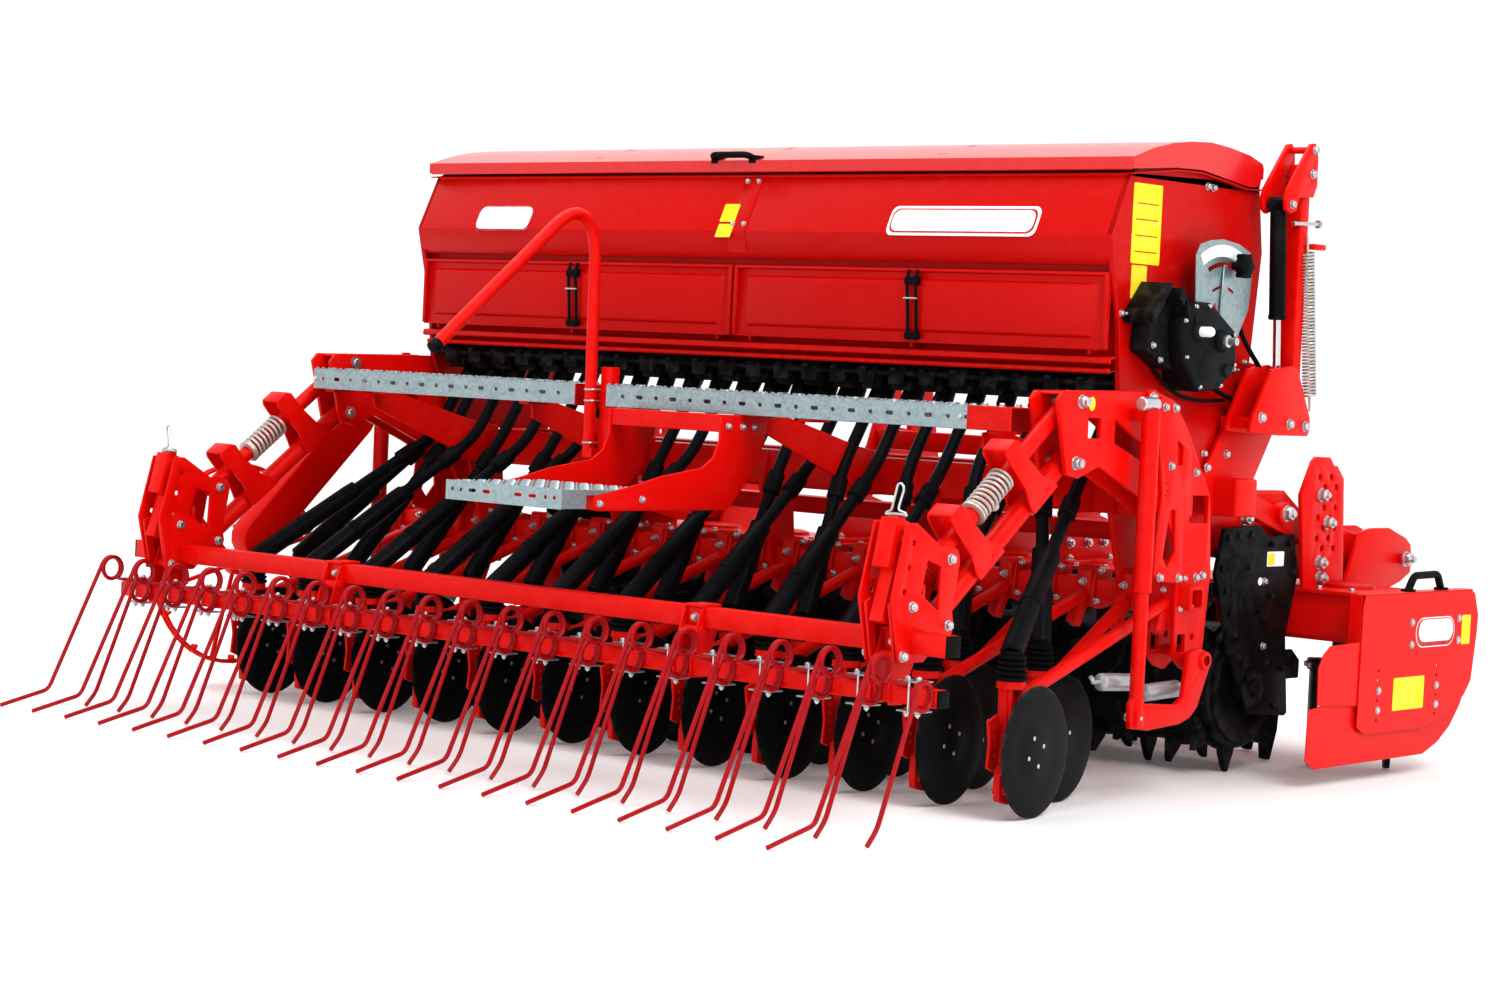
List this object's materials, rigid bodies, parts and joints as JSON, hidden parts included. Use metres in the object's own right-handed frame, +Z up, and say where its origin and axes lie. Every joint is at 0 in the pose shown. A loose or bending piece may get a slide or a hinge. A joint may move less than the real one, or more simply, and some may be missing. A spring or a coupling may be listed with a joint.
{
  "type": "seed drill",
  "caption": "Mounted mechanical seed drill carried on a power harrow with a toothed packer roller, disc coulters, a following tine harrow, loading step and red hopper.",
  "frame": {"origin": "middle of the footprint, on the ground", "axes": "+Z up, +Y the driving direction, +X to the right seen from behind"},
  "size_m": [3.128, 2.983, 1.683],
  "materials": {
    "machine_red": "gloss paint over steel",
    "tine_red": "satin paint on spring steel",
    "satin_black": "satin black paint",
    "black_plastic": "moulded",
    "galvanised": "galvanised sheet",
    "bright_steel": "ground and plated"
  },
  "bodies": {
    "machine_frame": {"harrow_trough": "machine_red", "hitch_frame": "machine_red", "side_shield_left": "machine_red", "side_shield_right": "machine_red", "packer_frame": "machine_red", "drill_frame": "machine_red", "coulter_rows": "machine_red", "seed_tubes": "black_plastic", "hopper": "machine_red", "metering_gearbox": "black_plastic", "footboard": "galvanised", "loading_step": "machine_red", "handrail": "machine_red"},
    "roller": {"packer_roller": "satin_black"},
    "ground_wheel": {"ground_wheel": "machine_red"},
    "lid": {"hopper_lid": "machine_red"},
    "cover_left": {"metering_cover_left": "machine_red"},
    "cover_right": {"metering_cover_right": "machine_red"},
    "lower_links": {"lower_link_left": "machine_red", "lower_link_right": "machine_red"},
    "upper_links": {"upper_link_left": "machine_red", "upper_link_right": "machine_red"},
    "following_harrow": {"tine_harrow": "tine_red"},
    "marker_rocker": {"marker_rocker": "machine_red"},
    "cylinder_barrel": {"cylinder_barrel": "satin_black"},
    "cylinder_rod": {"cylinder_rod": "bright_steel"},
    "disc_front_01": {"disc_front_01": "satin_black"},
    "disc_front_02": {"disc_front_02": "satin_black"},
    "disc_front_03": {"disc_front_03": "satin_black"},
    "disc_front_04": {"disc_front_04": "satin_black"},
    "disc_front_05": {"disc_front_05": "satin_black"},
    "disc_front_06": {"disc_front_06": "satin_black"},
    "disc_front_07": {"disc_front_07": "satin_black"},
    "disc_front_08": {"disc_front_08": "satin_black"},
    "disc_front_09": {"disc_front_09": "satin_black"},
    "disc_front_10": {"disc_front_10": "satin_black"},
    "disc_front_11": {"disc_front_11": "satin_black"},
    "disc_front_12": {"disc_front_12": "satin_black"},
    "disc_rear_01": {"disc_rear_01": "satin_black"},
    "disc_rear_02": {"disc_rear_02": "satin_black"},
    "disc_rear_03": {"disc_rear_03": "satin_black"},
    "disc_rear_04": {"disc_rear_04": "satin_black"},
    "disc_rear_05": {"disc_rear_05": "satin_black"},
    "disc_rear_06": {"disc_rear_06": "satin_black"},
    "disc_rear_07": {"disc_rear_07": "satin_black"},
    "disc_rear_08": {"disc_rear_08": "satin_black"},
    "disc_rear_09": {"disc_rear_09": "satin_black"},
    "disc_rear_10": {"disc_rear_10": "satin_black"},
    "disc_rear_11": {"disc_rear_11": "satin_black"},
    "disc_rear_12": {"disc_rear_12": "satin_black"},
    "rotor_01": {"rotor_01": "satin_black"},
    "rotor_02": {"rotor_02": "satin_black"},
    "rotor_03": {"rotor_03": "satin_black"},
    "rotor_04": {"rotor_04": "satin_black"},
    "rotor_05": {"rotor_05": "satin_black"},
    "rotor_06": {"rotor_06": "satin_black"},
    "rotor_07": {"rotor_07": "satin_black"},
    "rotor_08": {"rotor_08": "satin_black"},
    "rotor_09": {"rotor_09": "satin_black"},
    "rotor_10": {"rotor_10": "satin_black"}
  },
  "joints": [
    {"name": "roller_turn", "type": "hinge", "parent": "machine_frame", "child": "roller", "pos_m": [0.064, 0.60148, 0.235], "axis": [1, 0, 0], "continuous": true},
    {"name": "ground_wheel_turn", "type": "hinge", "parent": "machine_frame", "child": "ground_wheel", "pos_m": [-1.536, -0.55352, 0.366], "axis": [1, 0, 0], "continuous": true},
    {"name": "lid_open", "type": "hinge", "parent": "machine_frame", "child": "lid", "pos_m": [0.064, 0.49148, 1.6], "axis": [-1, 0, 0], "range_deg": [0, 70]},
    {"name": "cover_left_open", "type": "hinge", "parent": "machine_frame", "child": "cover_left", "pos_m": [0.064, -0.16202, 1.112], "axis": [1, 0, 0], "range_deg": [0, 80]},
    {"name": "cover_right_open", "type": "hinge", "parent": "machine_frame", "child": "cover_right", "pos_m": [0.064, -0.16202, 1.112], "axis": [1, 0, 0], "range_deg": [0, 80]},
    {"name": "link_lift", "type": "hinge", "parent": "machine_frame", "child": "lower_links", "pos_m": [0.064, -0.42652, 0.837], "axis": [-1, 0, 0], "range_deg": [0, 18]},
    {"name": "upper_link_follow", "type": "hinge", "parent": "machine_frame", "child": "upper_links", "pos_m": [0.064, -0.41352, 0.984], "axis": [-1, 0, 0], "range_deg": [0, 18]},
    {"name": "harrow_level", "type": "hinge", "parent": "lower_links", "child": "following_harrow", "pos_m": [0.064, -0.91152, 0.467], "axis": [-1, 0, 0], "range_deg": [-18, 0]},
    {"name": "rocker_fold", "type": "hinge", "parent": "machine_frame", "child": "marker_rocker", "pos_m": [1.39, 0.55148, 1.6], "axis": [-1, 0, 0], "range_deg": [0, 35]},
    {"name": "barrel_swing", "type": "hinge", "parent": "marker_rocker", "child": "cylinder_barrel", "pos_m": [1.39, 0.45648, 1.515], "axis": [-1, 0, 0], "range_deg": [-37.81, 0]},
    {"name": "rod_slide", "type": "slide", "parent": "cylinder_barrel", "child": "cylinder_rod", "axis": [0, 0.0787, -0.9969], "range_m": [0, 0.0747]},
    {"name": "disc_front_01_turn", "type": "hinge", "parent": "machine_frame", "child": "disc_front_01", "pos_m": [-1.431, -0.29852, 0.1575], "axis": [0.9945, 0.1045, 0], "continuous": true},
    {"name": "disc_front_02_turn", "type": "hinge", "parent": "machine_frame", "child": "disc_front_02", "pos_m": [-1.181, -0.29852, 0.1575], "axis": [0.9945, 0.1045, 0], "continuous": true},
    {"name": "disc_front_03_turn", "type": "hinge", "parent": "machine_frame", "child": "disc_front_03", "pos_m": [-0.931, -0.29852, 0.1575], "axis": [0.9945, 0.1045, 0], "continuous": true},
    {"name": "disc_front_04_turn", "type": "hinge", "parent": "machine_frame", "child": "disc_front_04", "pos_m": [-0.681, -0.29852, 0.1575], "axis": [0.9945, 0.1045, 0], "continuous": true},
    {"name": "disc_front_05_turn", "type": "hinge", "parent": "machine_frame", "child": "disc_front_05", "pos_m": [-0.431, -0.29852, 0.1575], "axis": [0.9945, 0.1045, 0], "continuous": true},
    {"name": "disc_front_06_turn", "type": "hinge", "parent": "machine_frame", "child": "disc_front_06", "pos_m": [-0.181, -0.29852, 0.1575], "axis": [0.9945, 0.1045, 0], "continuous": true},
    {"name": "disc_front_07_turn", "type": "hinge", "parent": "machine_frame", "child": "disc_front_07", "pos_m": [0.069, -0.29852, 0.1575], "axis": [0.9945, 0.1045, 0], "continuous": true},
    {"name": "disc_front_08_turn", "type": "hinge", "parent": "machine_frame", "child": "disc_front_08", "pos_m": [0.319, -0.29852, 0.1575], "axis": [0.9945, 0.1045, 0], "continuous": true},
    {"name": "disc_front_09_turn", "type": "hinge", "parent": "machine_frame", "child": "disc_front_09", "pos_m": [0.569, -0.29852, 0.1575], "axis": [0.9945, 0.1045, 0], "continuous": true},
    {"name": "disc_front_10_turn", "type": "hinge", "parent": "machine_frame", "child": "disc_front_10", "pos_m": [0.819, -0.29852, 0.1575], "axis": [0.9945, 0.1045, 0], "continuous": true},
    {"name": "disc_front_11_turn", "type": "hinge", "parent": "machine_frame", "child": "disc_front_11", "pos_m": [1.069, -0.29852, 0.1575], "axis": [0.9945, 0.1045, 0], "continuous": true},
    {"name": "disc_front_12_turn", "type": "hinge", "parent": "machine_frame", "child": "disc_front_12", "pos_m": [1.319, -0.29852, 0.1575], "axis": [0.9945, 0.1045, 0], "continuous": true},
    {"name": "disc_rear_01_turn", "type": "hinge", "parent": "machine_frame", "child": "disc_rear_01", "pos_m": [-1.306, -0.58252, 0.1575], "axis": [0.9945, 0.1045, 0], "continuous": true},
    {"name": "disc_rear_02_turn", "type": "hinge", "parent": "machine_frame", "child": "disc_rear_02", "pos_m": [-1.056, -0.58252, 0.1575], "axis": [0.9945, 0.1045, 0], "continuous": true},
    {"name": "disc_rear_03_turn", "type": "hinge", "parent": "machine_frame", "child": "disc_rear_03", "pos_m": [-0.806, -0.58252, 0.1575], "axis": [0.9945, 0.1045, 0], "continuous": true},
    {"name": "disc_rear_04_turn", "type": "hinge", "parent": "machine_frame", "child": "disc_rear_04", "pos_m": [-0.556, -0.58252, 0.1575], "axis": [0.9945, 0.1045, 0], "continuous": true},
    {"name": "disc_rear_05_turn", "type": "hinge", "parent": "machine_frame", "child": "disc_rear_05", "pos_m": [-0.306, -0.58252, 0.1575], "axis": [0.9945, 0.1045, 0], "continuous": true},
    {"name": "disc_rear_06_turn", "type": "hinge", "parent": "machine_frame", "child": "disc_rear_06", "pos_m": [-0.056, -0.58252, 0.1575], "axis": [0.9945, 0.1045, 0], "continuous": true},
    {"name": "disc_rear_07_turn", "type": "hinge", "parent": "machine_frame", "child": "disc_rear_07", "pos_m": [0.194, -0.58252, 0.1575], "axis": [0.9945, 0.1045, 0], "continuous": true},
    {"name": "disc_rear_08_turn", "type": "hinge", "parent": "machine_frame", "child": "disc_rear_08", "pos_m": [0.444, -0.58252, 0.1575], "axis": [0.9945, 0.1045, 0], "continuous": true},
    {"name": "disc_rear_09_turn", "type": "hinge", "parent": "machine_frame", "child": "disc_rear_09", "pos_m": [0.694, -0.58252, 0.1575], "axis": [0.9945, 0.1045, 0], "continuous": true},
    {"name": "disc_rear_10_turn", "type": "hinge", "parent": "machine_frame", "child": "disc_rear_10", "pos_m": [0.944, -0.58252, 0.1575], "axis": [0.9945, 0.1045, 0], "continuous": true},
    {"name": "disc_rear_11_turn", "type": "hinge", "parent": "machine_frame", "child": "disc_rear_11", "pos_m": [1.194, -0.58252, 0.1575], "axis": [0.9945, 0.1045, 0], "continuous": true},
    {"name": "disc_rear_12_turn", "type": "hinge", "parent": "machine_frame", "child": "disc_rear_12", "pos_m": [1.444, -0.58252, 0.1575], "axis": [0.9945, 0.1045, 0], "continuous": true},
    {"name": "rotor_01_turn", "type": "hinge", "parent": "machine_frame", "child": "rotor_01", "pos_m": [-1.241, 1.01148, 0.3], "axis": [0, 0, 1], "continuous": true},
    {"name": "rotor_02_turn", "type": "hinge", "parent": "machine_frame", "child": "rotor_02", "pos_m": [-0.951, 1.01148, 0.3], "axis": [0, 0, 1], "continuous": true},
    {"name": "rotor_03_turn", "type": "hinge", "parent": "machine_frame", "child": "rotor_03", "pos_m": [-0.661, 1.01148, 0.3], "axis": [0, 0, 1], "continuous": true},
    {"name": "rotor_04_turn", "type": "hinge", "parent": "machine_frame", "child": "rotor_04", "pos_m": [-0.371, 1.01148, 0.3], "axis": [0, 0, 1], "continuous": true},
    {"name": "rotor_05_turn", "type": "hinge", "parent": "machine_frame", "child": "rotor_05", "pos_m": [-0.081, 1.01148, 0.3], "axis": [0, 0, 1], "continuous": true},
    {"name": "rotor_06_turn", "type": "hinge", "parent": "machine_frame", "child": "rotor_06", "pos_m": [0.209, 1.01148, 0.3], "axis": [0, 0, 1], "continuous": true},
    {"name": "rotor_07_turn", "type": "hinge", "parent": "machine_frame", "child": "rotor_07", "pos_m": [0.499, 1.01148, 0.3], "axis": [0, 0, 1], "continuous": true},
    {"name": "rotor_08_turn", "type": "hinge", "parent": "machine_frame", "child": "rotor_08", "pos_m": [0.789, 1.01148, 0.3], "axis": [0, 0, 1], "continuous": true},
    {"name": "rotor_09_turn", "type": "hinge", "parent": "machine_frame", "child": "rotor_09", "pos_m": [1.079, 1.01148, 0.3], "axis": [0, 0, 1], "continuous": true},
    {"name": "rotor_10_turn", "type": "hinge", "parent": "machine_frame", "child": "rotor_10", "pos_m": [1.369, 1.01148, 0.3], "axis": [0, 0, 1], "continuous": true}
  ],
  "couplings": [
    {"joint": "rotor_02_turn", "follows": "rotor_01_turn", "ratio": -1},
    {"joint": "rotor_03_turn", "follows": "rotor_01_turn", "ratio": 1},
    {"joint": "rotor_04_turn", "follows": "rotor_01_turn", "ratio": -1},
    {"joint": "rotor_05_turn", "follows": "rotor_01_turn", "ratio": 1},
    {"joint": "rotor_06_turn", "follows": "rotor_01_turn", "ratio": -1},
    {"joint": "rotor_07_turn", "follows": "rotor_01_turn", "ratio": 1},
    {"joint": "rotor_08_turn", "follows": "rotor_01_turn", "ratio": -1},
    {"joint": "rotor_09_turn", "follows": "rotor_01_turn", "ratio": 1},
    {"joint": "rotor_10_turn", "follows": "rotor_01_turn", "ratio": -1},
    {"joint": "upper_link_follow", "follows": "link_lift", "ratio": 1},
    {"joint": "harrow_level", "follows": "link_lift", "ratio": -1},
    {"joint": "barrel_swing", "follows": "rocker_fold", "ratio": -1.066},
    {"joint": "rod_slide", "follows": "rocker_fold", "m_per_rad": 0.11894}
  ]
}
